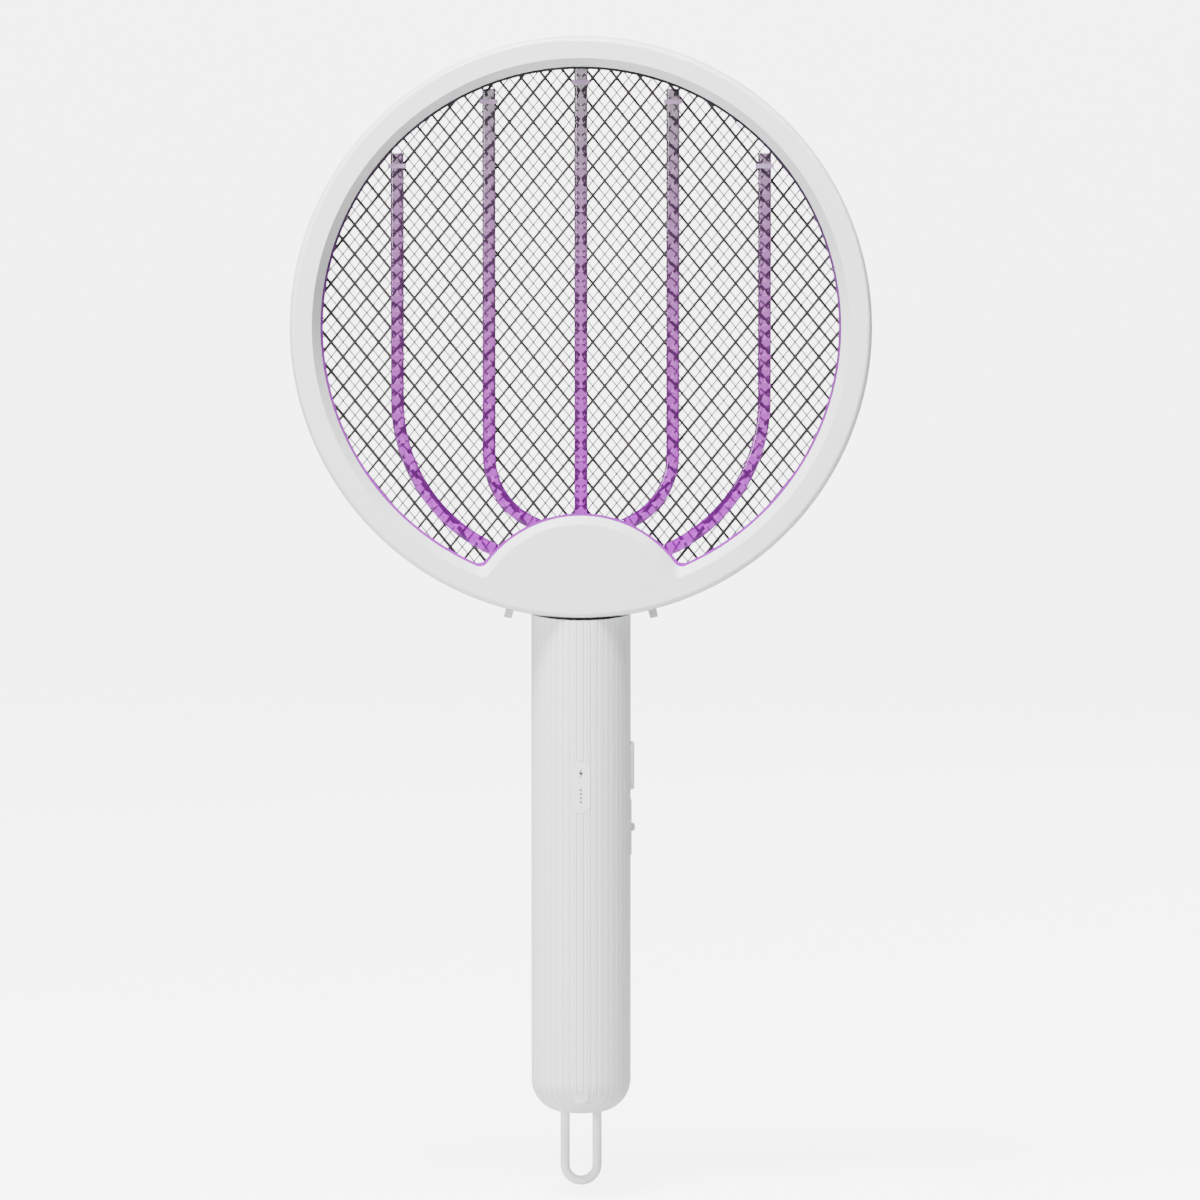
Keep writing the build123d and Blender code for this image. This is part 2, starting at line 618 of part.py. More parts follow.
with BuildPart() as handle_rear_shell:
    add(outer_bar)
    add(half_space(front=False), mode=Mode.INTERSECT)
    # half-round shoulder that carries on up behind the head
    with BuildSketch(Plane.XY.offset(HANDLE_TOP_Z)):
        Circle(HANDLE_R)
        with Locations((0, SHOULDER_Y - HANDLE_R)):
            Rectangle(3 * HANDLE_R, 2 * HANDLE_R, mode=Mode.SUBTRACT)
    extrude(amount=SHOULDER_TOP_Z - HANDLE_TOP_Z)
    fillet(handle_rear_shell.edges().group_by(Axis.Z)[-1], 1.5)
    add(hollow_core, mode=Mode.SUBTRACT)
    with BuildSketch(Plane.XY.offset(HANDLE_TOP_Z - WALL)):
        Circle(HANDLE_R - WALL)
        with Locations((0, 1.0 - HANDLE_R)):
            Rectangle(3 * HANDLE_R, 2 * HANDLE_R, mode=Mode.SUBTRACT)
    extrude(amount=SHOULDER_TOP_Z - HANDLE_TOP_Z, mode=Mode.SUBTRACT)
    # knuckle of the hinge
    with BuildSketch(side_plane(-KNUCKLE_HALF)):
        with Locations((HINGE_Y, HINGE_Z)):
            Circle(KNUCKLE_R)
        with Locations((HINGE_Y, (HINGE_Z + SHOULDER_TOP_Z - WALL) / 2)):
            Rectangle(2 * KNUCKLE_R, HINGE_Z - SHOULDER_TOP_Z + WALL)
    extrude(amount=2 * KNUCKLE_HALF)
    with BuildSketch(side_plane(-KNUCKLE_HALF)):
        with Locations((HINGE_Y, HINGE_Z)):
            Circle(PIN_R + PIN_CLEARANCE)
    extrude(amount=2 * KNUCKLE_HALF, mode=Mode.SUBTRACT)
    # screw tubes, open to the back
    for height in HANDLE_SCREW_Z:
        with BuildSketch(upright_plane(SEAM / 2)):
            with Locations((0, height)):
                Circle(3.6)
        extrude(amount=-(HANDLE_R - WALL / 2))
    for height in HANDLE_SCREW_Z:
        with BuildSketch(upright_plane(0)):
            with Locations((0, height)):
                Circle(1.5)
        extrude(amount=-30, mode=Mode.SUBTRACT)
        with BuildSketch(upright_plane(SCREW_SEAT_Y)):
            with Locations((0, height)):
                Circle(2.6)
        extrude(amount=-30, mode=Mode.SUBTRACT)
    # posts for the circuit board
    with BuildSketch(upright_plane(BOARD_Y + BOARD_T + 0.05)):
        with Locations(*BOARD_SCREWS):
            Circle(2.5)
            Circle(1.15, mode=Mode.SUBTRACT)
    extrude(amount=-11.0)
    add(side_cutouts(), mode=Mode.SUBTRACT)
    add(loop_leg_slots(), mode=Mode.SUBTRACT)
    with BuildSketch(upright_plane(10)):
        with Locations((0, USB_Z)):
            SlotOverall(9.4, 3.6)
    extrude(amount=-20, mode=Mode.SUBTRACT)
    with BuildSketch(Plane.XY.offset(HANDLE_BOTTOM_Z + HANDLE_END_R)):
        with flute_places():
            Circle(FLUTE_R)
    extrude(amount=HANDLE_TOP_Z, mode=Mode.SUBTRACT)
finish(handle_rear_shell.part, "handle_rear_shell")

with BuildPart() as handle_screws:
    for height in HANDLE_SCREW_Z:
        with BuildSketch(upright_plane(SCREW_SEAT_Y)):
            with Locations((0, height)):
                Circle(1.1)
        extrude(amount=15.0)
        with BuildSketch(upright_plane(SCREW_SEAT_Y)):
            with Locations((0, height)):
                Circle(2.4)
        extrude(amount=-1.8)
        # cross recess
        with BuildSketch(upright_plane(SCREW_SEAT_Y + 1.8)):
            with Locations((0, height)):
                Rectangle(2.6, 0.6)
                Rectangle(0.6, 2.6)
        extrude(amount=1.0, mode=Mode.SUBTRACT)
finish(handle_screws.part, "handle_screws")

# --- hanging loop -------------------------------------------------------------
with BuildPart() as hanging_loop:
    with BuildLine():
        leg = Line((LOOP_LEG_X, 0, LOOP_ANCHOR_Z), (LOOP_LEG_X, 0, LOOP_LEG_X + LOOP_WIRE_R))
        bow = ThreePointArc(leg @ 1, (0, 0, LOOP_WIRE_R), (-LOOP_LEG_X, 0, LOOP_LEG_X + LOOP_WIRE_R))
        Line(bow @ 1, (-LOOP_LEG_X, 0, LOOP_ANCHOR_Z))
    with BuildSketch(Plane.XY.offset(LOOP_ANCHOR_Z)):
        with Locations((LOOP_LEG_X, 0)):
            Circle(LOOP_WIRE_R)
    sweep()
    # anchor plate inside the handle
    with BuildSketch(Plane.XY.offset(LOOP_ANCHOR_Z)):
        RectangleRounded(2 * LOOP_LEG_X + 6.0, 6.0, 2.0)
    extrude(amount=-1.8)
finish(hanging_loop.part, "hanging_loop")

# --- indicator on the front ---------------------------------------------------
WINDOW_FACE_Y = FRONT_Y + 0.2
ICON_DEPTH = 0.3
BOLT_Z = 169.7
DOT_Z = (162.9, 161.3, 159.7, 158.1)


def icon_sketch(grow=0.0):
    """Lightning bolt above a row of charge dots, on the handle's centre line."""
    with BuildSketch() as icons:
        with BuildLine():
            Polyline(
                (0.55, BOLT_Z + 2.3),
                (-0.95, BOLT_Z - 0.35),
                (-0.1, BOLT_Z - 0.35),
                (-0.55, BOLT_Z - 2.3),
                (0.95, BOLT_Z + 0.35),
                (0.1, BOLT_Z + 0.35),
                close=True,
            )
        make_face()
        with Locations(*((0, height) for height in DOT_Z)):
            Circle(0.42)
    return icons.sketch


with BuildPart() as indicator_window:
    with BuildSketch(upright_plane(WINDOW_FACE_Y + WALL)):
        with Locations((0, WINDOW_Z)):
            SlotOverall(WINDOW_LENGTH - 0.1, WINDOW_WIDTH - 0.1, rotation=90)
    extrude(amount=WALL)
    fillet(indicator_window.edges().group_by(Axis.Y)[0], 0.3)
    with BuildSketch(upright_plane(-16.0)):
        with Locations((0, WINDOW_Z)):
            SlotOverall(WINDOW_LENGTH + 2.4, WINDOW_WIDTH + 2.4, rotation=90)
    extrude(amount=1.0)
    with BuildSketch(upright_plane(-16.9)):
        with Locations((0, WINDOW_Z)):
            SlotOverall(WINDOW_LENGTH - 0.1, WINDOW_WIDTH - 0.1, rotation=90)
    extrude(amount=2.0)
    with BuildSketch(upright_plane(WINDOW_FACE_Y + ICON_DEPTH)):
        add(icon_sketch())
    extrude(amount=2, mode=Mode.SUBTRACT)
finish(indicator_window.part, "indicator_window")

with BuildPart() as indicator_icons:
    with BuildSketch(upright_plane(WINDOW_FACE_Y + ICON_DEPTH)):
        add(icon_sketch())
    extrude(amount=ICON_DEPTH + 0.05)
finish(indicator_icons.part, "indicator_icons")

with BuildPart() as indicator_light_pipes:
    for height in (BOLT_Z, (DOT_Z[0] + DOT_Z[-1]) / 2):
        with BuildSketch(upright_plane(BOARD_Y - 1.0)):
            with Locations((0, height)):
                Circle(1.8)
        extrude(amount=BOARD_Y - 1.0 + 16.0)
finish(indicator_light_pipes.part, "indicator_light_pipes")

with BuildPart() as indicator_leds:
    for height in (BOLT_Z, (DOT_Z[0] + DOT_Z[-1]) / 2):
        with BuildSketch(upright_plane(BOARD_Y)):
            with Locations((0, height)):
                Rectangle(2.0, 2.4)
        extrude(amount=0.9)
finish(indicator_leds.part, "indicator_leds")

# --- side button and slider ---------------------------------------------------
FLANGE_X = (15.4, 16.8)

with BuildPart() as trigger_button:
    with BuildSketch(side_plane(FLANGE_X[0])):
        with Locations((0, BUTTON_Z)):
            SlotOverall(BUTTON_LENGTH + 3.0, BUTTON_WIDTH + 2.0, rotation=90)
    extrude(amount=FLANGE_X[1] - FLANGE_X[0])
    with BuildSketch(side_plane(FLANGE_X[0])):
        with Locations((0, BUTTON_Z)):
            SlotOverall(BUTTON_LENGTH, BUTTON_WIDTH, rotation=90)
    extrude(amount=BUTTON_TOP_X - FLANGE_X[0])
    fillet(trigger_button.edges().group_by(Axis.X)[-1], 0.9)
    with BuildSketch(side_plane(FLANGE_X[0])):
        with Locations((0, BUTTON_Z)):
            Circle(1.6)
    extrude(amount=-2.0)
finish(trigger_button.part, "trigger_button")

SWITCH_X = (7.5, 11.5)
with BuildPart() as tact_switch:
    with BuildSketch(side_plane(SWITCH_X[0])):
        with Locations((0, BUTTON_Z)):
            Rectangle(2 * BOARD_Y, 6.0)
    extrude(amount=SWITCH_X[1] - SWITCH_X[0])
    with BuildSketch(side_plane(SWITCH_X[1])):
        with Locations((0, BUTTON_Z)):
            Circle(1.5)
    extrude(amount=-2.4, mode=Mode.SUBTRACT)
finish(tact_switch.part, "tact_switch")

with BuildPart() as switch_plunger:
    with BuildSketch(side_plane(SWITCH_X[1] - 0.6)):
        with Locations((0, BUTTON_Z)):
            Circle(1.35)
    extrude(amount=FLANGE_X[0] - 2.0 - SWITCH_X[1] + 0.6)
finish(switch_plunger.part, "switch_plunger")

with BuildPart() as slider_plate:
    with BuildSketch(side_plane(18.4)):
        with Locations((0, SLIDER_Z)):
            RectangleRounded(PLATE_WIDTH, PLATE_LENGTH, 1.5)
    extrude(amount=2.2)
    chamfer(slider_plate.edges().group_by(Axis.X)[-1], 0.3)
    with BuildSketch(side_plane(17.0)):
        with Locations((0, SLIDER_Z)):
            SlotOverall(2 * SLIDER_TRAVEL + 7.0, 3.0, rotation=90)
    extrude(amount=6, mode=Mode.SUBTRACT)
finish(slider_plate.part, "slider_plate")

with BuildPart() as mode_slider:
    with BuildSketch(side_plane(16.4)):
        with Locations((0, SLIDER_Z)):
            Rectangle(5.4, 2 * SLIDER_TRAVEL + 9.0)
    extrude(amount=1.2)
    with BuildSketch(side_plane(16.4)):
        with Locations((0, SLIDER_Z)):
            Rectangle(2.4, 3.3)
    extrude(amount=5.6)
    fillet(mode_slider.edges().group_by(Axis.X)[-1], 1.0)
    with BuildSketch(side_plane(16.4)):
        with Locations((0, SLIDER_Z)):
            Rectangle(1.8, 2.0)
    extrude(amount=-4.4)
finish(mode_slider.part, "mode_slider")

SLIDE_SWITCH_X = (8.5, 13.5)
with BuildPart() as slide_switch_body:
    with BuildSketch(side_plane(SLIDE_SWITCH_X[0])):
        with Locations((0, SLIDER_Z)):
            Rectangle(2 * BOARD_Y, 15.0)
    extrude(amount=SLIDE_SWITCH_X[1] - SLIDE_SWITCH_X[0])
    with BuildSketch(side_plane(SLIDE_SWITCH_X[1])):
        with Locations((0, SLIDER_Z)):
            Rectangle(2.4, 2 * SLIDER_TRAVEL + 3.0)
    extrude(amount=-2.4, mode=Mode.SUBTRACT)
finish(slide_switch_body.part, "slide_switch_body")

# --- electronics --------------------------------------------------------------
def on_front_of_board(x, z, width, height, depth):
    """Boxy component on the side of the board that faces the front."""
    with BuildPart() as component:
        with BuildSketch(upright_plane(BOARD_Y)):
            with Locations((x, z)):
                RectangleRounded(width, height, 0.6)
        extrude(amount=depth)
    return component.part


with BuildPart() as circuit_board:
    with BuildSketch(upright_plane(BOARD_Y + BOARD_T)):
        with Locations((0, sum(BOARD_Z) / 2)):
            RectangleRounded(BOARD_WIDTH, BOARD_Z[1] - BOARD_Z[0], 1.5)
        with Locations(*BOARD_SCREWS):
            Circle(1.2, mode=Mode.SUBTRACT)
    extrude(amount=BOARD_T)
finish(circuit_board.part, "circuit_board")

finish(on_front_of_board(-3.0, 203.0, 16.0, 7.0, 10.0), "high_voltage_capacitor")
finish(on_front_of_board(0.0, 151.0, 7.0, 7.0, 1.4), "controller_chip")

with BuildPart() as step_up_transformer:
    with BuildSketch(upright_plane(BOARD_Y)):
        with Locations((-2.0, 186.0)):
            Rectangle(14.0, 12.0)
    extrude(amount=3.0)
    with BuildSketch(upright_plane(BOARD_Y - 3.0)):
        with Locations((-2.0, 186.0)):
            Rectangle(9.0, 10.0)
    extrude(amount=5.0)
    with BuildSketch(upright_plane(BOARD_Y - 8.0)):
        with Locations((-2.0, 186.0)):
            Rectangle(14.0, 12.0)
    extrude(amount=3.0)
finish(step_up_transformer.part, "step_up_transformer")

with BuildPart() as rectifier_diodes:
    for height in (194.0, 197.0):
        with BuildSketch(side_plane(4.0)):
            with Locations((BOARD_Y - 1.4, height)):
                Circle(1.2)
        extrude(amount=5.0)
finish(rectifier_diodes.part, "rectifier_diodes")

with BuildPart() as board_screws:
    for x, height in BOARD_SCREWS:
        with BuildSketch(upright_plane(BOARD_Y)):
            with Locations((x, height)):
                Circle(2.0)
        extrude(amount=1.4)
        with BuildSketch(upright_plane(BOARD_Y)):
            with Locations((x, height)):
                Circle(1.1)
        extrude(amount=-5.0)
finish(board_screws.part, "board_screws")

with BuildPart() as usb_c_socket:
    with BuildSketch(upright_plane(BOARD_Y + BOARD_T)):
        with Locations((0, USB_Z)):
            SlotOverall(9.0, 3.2)
    extrude(amount=-15.0)
    with BuildSketch(upright_plane(BOARD_Y + BOARD_T + 15.0)):
        with Locations((0, USB_Z)):
            SlotOverall(8.3, 2.5)
            Rectangle(6.6, 0.7, mode=Mode.SUBTRACT)
    extrude(amount=6.5, mode=Mode.SUBTRACT)
finish(usb_c_socket.part, "usb_c_socket")

# --- battery ------------------------------------------------------------------
CRADLE_BOTTOM_Z = 43.6
CRADLE_TOP_Z = 115.8
CRADLE_WALL = 1.2

with BuildPart() as battery_cell:
    with BuildSketch(Plane.XY.offset(BATTERY_BOTTOM_Z)):
        Circle(BATTERY_R)
    extrude(amount=BATTERY_LENGTH - 1.2)
    fillet(battery_cell.edges(), 0.6)
    with BuildSketch(Plane.XY.offset(BATTERY_BOTTOM_Z + BATTERY_LENGTH - 1.4)):
        Circle(3.2)
    extrude(amount=1.4)
finish(battery_cell.part, "battery_cell")

with BuildPart() as battery_cradle:
    with BuildSketch(Plane.XY.offset(CRADLE_BOTTOM_Z)):
        Circle(BATTERY_R + 0.1 + CRADLE_WALL)
        with Locations((0, -BATTERY_R)):
            Rectangle(4 * BATTERY_R, 2 * BATTERY_R, mode=Mode.SUBTRACT)
        with Locations((0, 0.6)):
            Rectangle(2 * (HANDLE_R - WALL) - 1.0, 1.2)
    extrude(amount=CRADLE_TOP_Z - CRADLE_BOTTOM_Z)
    with BuildSketch(Plane.XY.offset(CRADLE_BOTTOM_Z + CRADLE_WALL)):
        Circle(BATTERY_R + 0.1)
    extrude(amount=CRADLE_TOP_Z - CRADLE_BOTTOM_Z - 2 * CRADLE_WALL, mode=Mode.SUBTRACT)
finish(battery_cradle.part, "battery_cradle")

CONTACT_T = 0.4
with BuildPart() as battery_contact_negative:
    with BuildSketch(Plane.YZ.offset(-2.5)):
        low = CRADLE_BOTTOM_Z + CRADLE_WALL + CONTACT_T / 2
        high = BATTERY_BOTTOM_Z - CONTACT_T / 2
        with BuildLine():
            Polyline((8.0, low), (0.5, low), (3.0, high), (5.5, high))
        trace(line_width=CONTACT_T)
    extrude(amount=5.0)
finish(battery_contact_negative.part, "battery_contact_negative")

with BuildPart() as battery_contact_positive:
    with BuildSketch(Plane.XY.offset(CRADLE_TOP_Z - CRADLE_WALL - CONTACT_T)):
        with Locations((0, 3.0)):
            Rectangle(6.0, 10.0)
    extrude(amount=CONTACT_T)
    with BuildSketch(Plane.XY.offset(BATTERY_BOTTOM_Z + BATTERY_LENGTH)):
        Circle(2.0)
    extrude(amount=CRADLE_TOP_Z - CRADLE_WALL - CONTACT_T / 2 - BATTERY_BOTTOM_Z - BATTERY_LENGTH)
finish(battery_contact_positive.part, "battery_contact_positive")
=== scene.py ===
import json
from math import atan2, cos, pi, radians, sin, sqrt

import bmesh
import bpy
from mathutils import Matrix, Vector
from mathutils.kdtree import KDTree


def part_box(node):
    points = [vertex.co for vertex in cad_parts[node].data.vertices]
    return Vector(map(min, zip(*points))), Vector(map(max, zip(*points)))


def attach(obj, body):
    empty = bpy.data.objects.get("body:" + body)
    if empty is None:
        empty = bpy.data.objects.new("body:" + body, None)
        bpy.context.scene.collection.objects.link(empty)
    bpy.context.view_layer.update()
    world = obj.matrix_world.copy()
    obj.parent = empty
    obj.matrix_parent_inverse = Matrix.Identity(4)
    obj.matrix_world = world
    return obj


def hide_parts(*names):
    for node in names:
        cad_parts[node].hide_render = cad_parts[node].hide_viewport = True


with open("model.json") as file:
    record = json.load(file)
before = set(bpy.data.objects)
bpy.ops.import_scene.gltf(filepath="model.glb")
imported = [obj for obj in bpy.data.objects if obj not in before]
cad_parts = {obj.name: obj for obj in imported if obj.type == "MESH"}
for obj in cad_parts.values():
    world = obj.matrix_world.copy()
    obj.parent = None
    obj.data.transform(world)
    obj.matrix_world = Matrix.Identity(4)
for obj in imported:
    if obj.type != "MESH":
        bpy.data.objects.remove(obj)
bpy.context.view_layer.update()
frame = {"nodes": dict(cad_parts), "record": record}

# Electric fly swatter, in metres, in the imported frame: +Z up the handle, -Y out of the front.
MM = 0.001
nodes = frame["nodes"]

# --- places taken from the frame ---------------------------------------------------------------
bezel_low, bezel_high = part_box("front_bezel")
shell_low, shell_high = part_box("handle_front_shell")
guide_low, guide_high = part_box("light_guide_centre")

HEAD = Vector((0, 0, (bezel_high.z + bezel_low.z) / 2))
RAMP_FROM_Z = HEAD.z - 100 * MM  # the colour ramps by height run between these two heights: lamp glow in the guides, painted shade on the light ring's edge, painted glints on the notches
RAMP_TO_Z = HEAD.z + 98 * MM
HANDLE_R = shell_high.x
HANDLE_BOTTOM = shell_low.z
HANDLE_END_R = 13.5 * MM  # rounding of the handle's lower end
END_TOP = HANDLE_BOTTOM + HANDLE_END_R
END_FLAT = HANDLE_R - HANDLE_END_R
FLUTES = 45
FLUTE_R = 0.45 * MM
FLUTE_PITCH = 2 * pi * HANDLE_R / FLUTES
RIB_POINT_Z = 41.0 * MM  # the middle rib ends here, and the others wrap round its end
RIB_REACH = 56.0 * MM  # how far from that point the wrapped ribs are followed
RIB_STEP = 0.5 * MM
RIB_BLEND = 5.0 * MM  # height over which the straight flutes turn into the wrapped ribs
RIB_EDGE = 0.28 * MM  # longest mesh edge on the ribbed end

HUB = Vector((0, -123.0 * MM))  # the hub curve's centre, across and up from the head's centre
GUIDE_END_R = 48.15 * MM  # the guides' lower ends lie on this curve about the hub's centre
GUIDE_TOP_R = 103.95 * MM
GUIDE_W = guide_high.x - guide_low.x
GUIDE_T = guide_high.y - guide_low.y
GUIDE_FRONT_EDGE_R = 1.1 * MM
GUIDE_BACK_EDGE_R = 0.4 * MM
GUIDE_STEP = 0.8 * MM
GUIDE_TAIL_STEPS = 8
# in millimetres and degrees: place across, height of the bend's start, radius and angle of the
# bend, straight tail after it
GUIDES = {
    "light_guide_centre": (0.0, -80.0, 0.0, 0.0, 6.0),
    "light_guide_outer_left": (-74.0, -29.4, 66.0, 64.4, 5.0),
    "light_guide_inner_left": (-37.05, -51.4, 30.0, 64.6, 4.6),
    "light_guide_inner_right": (37.05, -51.4, 30.0, 64.6, 4.6),
    "light_guide_outer_right": (74.0, -29.4, 66.0, 64.4, 5.0),
}
PRISM_PITCH = 5.9 * MM
PRISM_TIP = 1.3 * MM  # from a prism's middle up the guide to its point
PRISM_BASE = 1.2 * MM  # and down the guide to its base
PRISM_HALF_W = 1.15 * MM
PRISM_TAPER = 0.55  # size of its back against its front
PRISM_FRONT = 0.9 * MM  # depth of its two ends inside the guide's back
PRISM_BACK = 0.15 * MM
PRISM_HUB_GAP = 2 * MM

# name, colour, then roughness and grain where they aren't the usual ones
PLASTICS = (
    ("bezel_white", (0.80, 0.81, 0.81)),
    ("frame_white", (0.66, 0.67, 0.67), 0.46),
    ("handle_white", (0.76, 0.78, 0.77), 0.38),
    ("loop_white", (0.82, 0.82, 0.82), 0.34, 0.06),
    ("window_white", (0.84, 0.84, 0.84), 0.22, 0.03),
    ("icon_dark", (0.03, 0.03, 0.035), 0.5),
    ("button_white", (0.72, 0.73, 0.73), 0.40),
    ("slider_white", (0.68, 0.69, 0.69), 0.42),
    ("foot_rubber", (0.46, 0.47, 0.47), 0.72, 0.3),
    ("spacer_plastic", (0.55, 0.55, 0.56), 0.5),
    ("clip_plastic", (0.30, 0.20, 0.34), 0.3),
    ("board_laminate", (0.03, 0.14, 0.06), 0.35),
    ("switch_black", (0.02, 0.02, 0.022), 0.5),
    ("capacitor_red", (0.35, 0.05, 0.02), 0.25),
    ("transformer_core", (0.04, 0.04, 0.045), 0.6),
    ("battery_sleeve", (0.02, 0.09, 0.24), 0.3),
    ("cradle_black", (0.03, 0.03, 0.03), 0.5),
    ("light_pipe_clear", (0.80, 0.80, 0.84), 0.12, 0.02),
    ("lamp_lens", (0.45, 0.22, 0.75), 0.15, 0.02),
)
# name, colour, and roughness where it isn't the usual one
METALS = (
    ("guard_wire", (0.075, 0.07, 0.07), 0.45),
    ("net_wire", (0.018, 0.017, 0.017), 0.5),
    ("screw_steel", (0.48, 0.48, 0.49)),
    ("pin_steel", (0.55, 0.55, 0.56), 0.28),
    ("switch_metal", (0.55, 0.55, 0.56)),
    ("contact_nickel", (0.60, 0.57, 0.52), 0.25),
)

FLOOR_R = 4.4
FLOOR_CURVE = 0.8
FLOOR_CURVE_STEPS = 12
FLOOR_DROP = 4 * MM  # the floor lies this far under the object
FLOOR_SIDES = 96
WALL_TOP = 4.0
BACKDROP_SEEN = 5.5  # how bright the backdrop looks

VIEW_TARGET = Vector((0.0077, 0, 0.2387))
VIEW_WIDTH = 0.487  # width of the frame at the object
VIEW_TILT = radians(3)


# --- node material helpers ---------------------------------------------------------------------
class Shader:
    """Small helper that builds a procedural material around one Principled shader."""

    def __init__(self, name, metallic=0.0):
        self.material = bpy.data.materials.new(name)
        self.material.use_nodes = True
        self.tree = self.material.node_tree
        self.principled = self.tree.nodes["Principled BSDF"]
        self.principled.inputs["Metallic"].default_value = metallic
        self.place = self.tree.nodes.new("ShaderNodeTexCoord").outputs["Object"]

    def link(self, source, target):
        self.tree.links.new(source, target)

    def node(self, kind, **inputs):
        made = self.tree.nodes.new(kind)
        for key, value in inputs.items():
            made.inputs[key.replace("_", " ")].default_value = value
        return made

    def noise(self, scale, detail=4.0):
        made = self.node("ShaderNodeTexNoise", Scale=scale, Detail=detail, Roughness=0.55)
        self.link(self.place, made.inputs["Vector"])
        return made.outputs["Fac"]

    def spread(self, source, low, high, from_low=0.3, from_high=0.7):
        made = self.node("ShaderNodeMapRange")
        made.inputs["From Min"].default_value = from_low
        made.inputs["From Max"].default_value = from_high
        made.inputs["To Min"].default_value = low
        made.inputs["To Max"].default_value = high
        self.link(source, made.inputs["Value"])
        return made.outputs["Result"]

    def vary_color(self, color, scale, amount):
        """Slight darker and lighter patches of the base colour."""
        mix = self.tree.nodes.new("ShaderNodeMix")
        mix.data_type = "RGBA"
        mix.inputs["A"].default_value = tuple(c * (1 - amount) for c in color) + (1,)
        mix.inputs["B"].default_value = tuple(min(1, c * (1 + amount)) for c in color) + (1,)
        self.link(self.spread(self.noise(scale), 0, 1), mix.inputs["Factor"])
        self.link(mix.outputs["Result"], self.principled.inputs["Base Color"])

    def vary_roughness(self, roughness, scale, amount):
        value = self.spread(self.noise(scale, 6.0), roughness - amount, roughness + amount)
        self.link(value, self.principled.inputs["Roughness"])

    def grain(self, scale, strength, distance):
        """Fine moulded or drawn texture as bump."""
        bump = self.node("ShaderNodeBump", Strength=strength, Distance=distance)
        self.link(self.noise(scale, 2.0), bump.inputs["Height"])
        self.link(bump.outputs["Normal"], self.principled.inputs["Normal"])


def moulded(name, color, roughness=0.42, grain=0.12):
    """Satin moulded plastic: fine spark-eroded grain, faint handling marks."""
    shader = Shader(name)
    shader.vary_color(color, 28.0, 0.012)
    shader.vary_roughness(roughness, 60.0, 0.07)
    shader.grain(4200.0, grain, 0.00004)
    shader.principled.inputs["Subsurface Weight"].default_value = 0.04
    shader.principled.inputs["Subsurface Radius"].default_value = (0.002, 0.002, 0.002)
    return shader.material


def drawn_metal(name, color, roughness=0.36):
    """Plated wire or pin with a slightly mottled finish."""
    shader = Shader(name, metallic=1.0)
    shader.vary_color(color, 180.0, 0.12)
    shader.vary_roughness(roughness, 300.0, 0.10)
    shader.grain(2600.0, 0.15, 0.00003)
    return shader.material


def height_ramp(shader, stops):
    """Colour that changes with height in the head, from its bottom (0) to its top (1)."""
    split = shader.tree.nodes.new("ShaderNodeSeparateXYZ")
    shader.link(shader.place, split.inputs["Vector"])
    height = shader.spread(split.outputs["Z"], 0.0, 1.0, RAMP_FROM_Z, RAMP_TO_Z)
    ramp = shader.tree.nodes.new("ShaderNodeValToRGB")
    elements = ramp.color_ramp.elements
    elements[0].position, elements[0].color = stops[0][0], (*stops[0][1], 1)
    elements[1].position, elements[1].color = stops[-1][0], (*stops[-1][1], 1)
    for place, color in stops[1:-1]:
        elements.new(place).color = (*color, 1)
    shader.link(height, ramp.inputs["Fac"])
    return height, ramp.outputs["Color"]


def glow(shader, height, color, at_bottom, at_top):
    """Light given off, falling from the bottom of the head to its top, with a fine speckle."""
    fade = shader.spread(height, at_bottom, at_top, 0.0, 1.0)
    speckle = shader.spread(shader.noise(900.0, 2.0), 0.7, 1.3)
    product = shader.tree.nodes.new("ShaderNodeMath")
    product.operation = "MULTIPLY"
    shader.link(fade, product.inputs[0])
    shader.link(speckle, product.inputs[1])
    shader.link(color, shader.principled.inputs["Emission Color"])
    shader.link(product.outputs["Value"], shader.principled.inputs["Emission Strength"])


def glow_and_colour_by_height(shader, stops, at_bottom, at_top):
    """Colour and glow by height in the head: the lamps' glow, and the painted shade and painted
    glints that some of the given stops carry.
    """
    height, color = height_ramp(shader, stops)
    shader.link(color, shader.principled.inputs["Base Color"])
    glow(shader, height, color, at_bottom, at_top)


def clear_acrylic(name):
    """Clear moulded acrylic with violet light in it, strongest near the hub, grey-lilac on top."""
    shader = Shader(name)
    stops = (
        (0.0, (0.17, 0.002, 0.23)),
        (0.45, (0.14, 0.03, 0.16)),
        (1.0, (0.10, 0.086, 0.10)),
    )
    glow_and_colour_by_height(shader, stops, 0.5, 0.0)
    shader.vary_roughness(0.08, 500.0, 0.04)
    shader.grain(700.0, 0.25, 0.00015)
    shader.principled.inputs["Transmission Weight"].default_value = 0.9
    shader.principled.inputs["IOR"].default_value = 1.49
    return shader.material


def prism_painted_glint(name):
    """The small notches in the guides' backs, given an almost white glow that stands in for glints
    (painted glint); near the hub the lamps tint it violet.
    """
    shader = Shader(name)
    # nearly white all the way up: painted glint; the violet near the hub is the lamps' tint
    stops = (
        (0.0, (1.0, 0.50, 1.0)),
        (0.5, (0.96, 0.76, 0.97)),
        (1.0, (0.92, 0.90, 0.92)),
    )
    glow_and_colour_by_height(shader, stops, 1.1, 0.9)
    shader.vary_roughness(0.35, 500.0, 0.08)
    return shader.material


